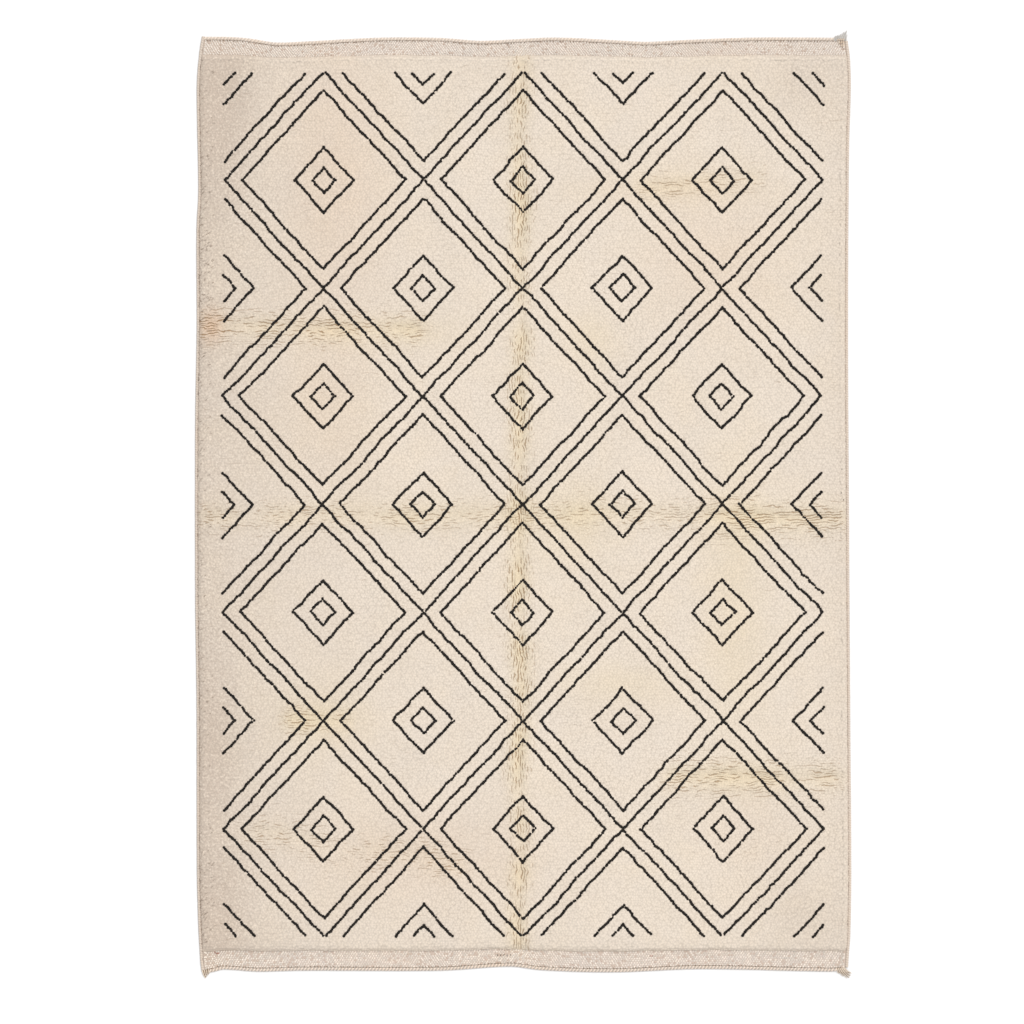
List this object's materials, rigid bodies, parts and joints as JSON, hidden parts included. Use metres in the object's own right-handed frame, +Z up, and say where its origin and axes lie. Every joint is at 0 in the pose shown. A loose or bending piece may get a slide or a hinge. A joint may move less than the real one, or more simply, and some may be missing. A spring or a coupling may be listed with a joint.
{
  "type": "beni ourain rug",
  "caption": "Hand-knotted wool rug lying flat: ivory pile with thin dark lozenge lines, flat-woven end bands, wrapped and twisted edge cords, loose yarn tufts at its corners.",
  "frame": {"origin": "middle of the rug's underside, on the floor", "axes": "+X across the width, +Y along the length to the head end (the top of the picture), +Z up out of the pile"},
  "size_m": [2.0454, 2.9552, 0.0198],
  "materials": {
    "pile_wool": "matte ivory wool pile, unevenly toned",
    "line_wool": "matte brown-black wool pile, in thin lines",
    "flat_weave": "matte flat-woven wool, beaded",
    "cord_wool": "matte wrapped and twisted wool",
    "warp_yarn": "matte loose wool yarn"
  },
  "bodies": {
    "root": {"rug": "pile_wool", "side_cord_left": "cord_wool", "side_cord_right": "cord_wool", "end_cord_head": "cord_wool", "end_cord_foot": "cord_wool", "tuft_head_right": "warp_yarn", "tuft_foot_right": "warp_yarn", "tuft_foot_left": "warp_yarn"}
  },
  "joints": []
}
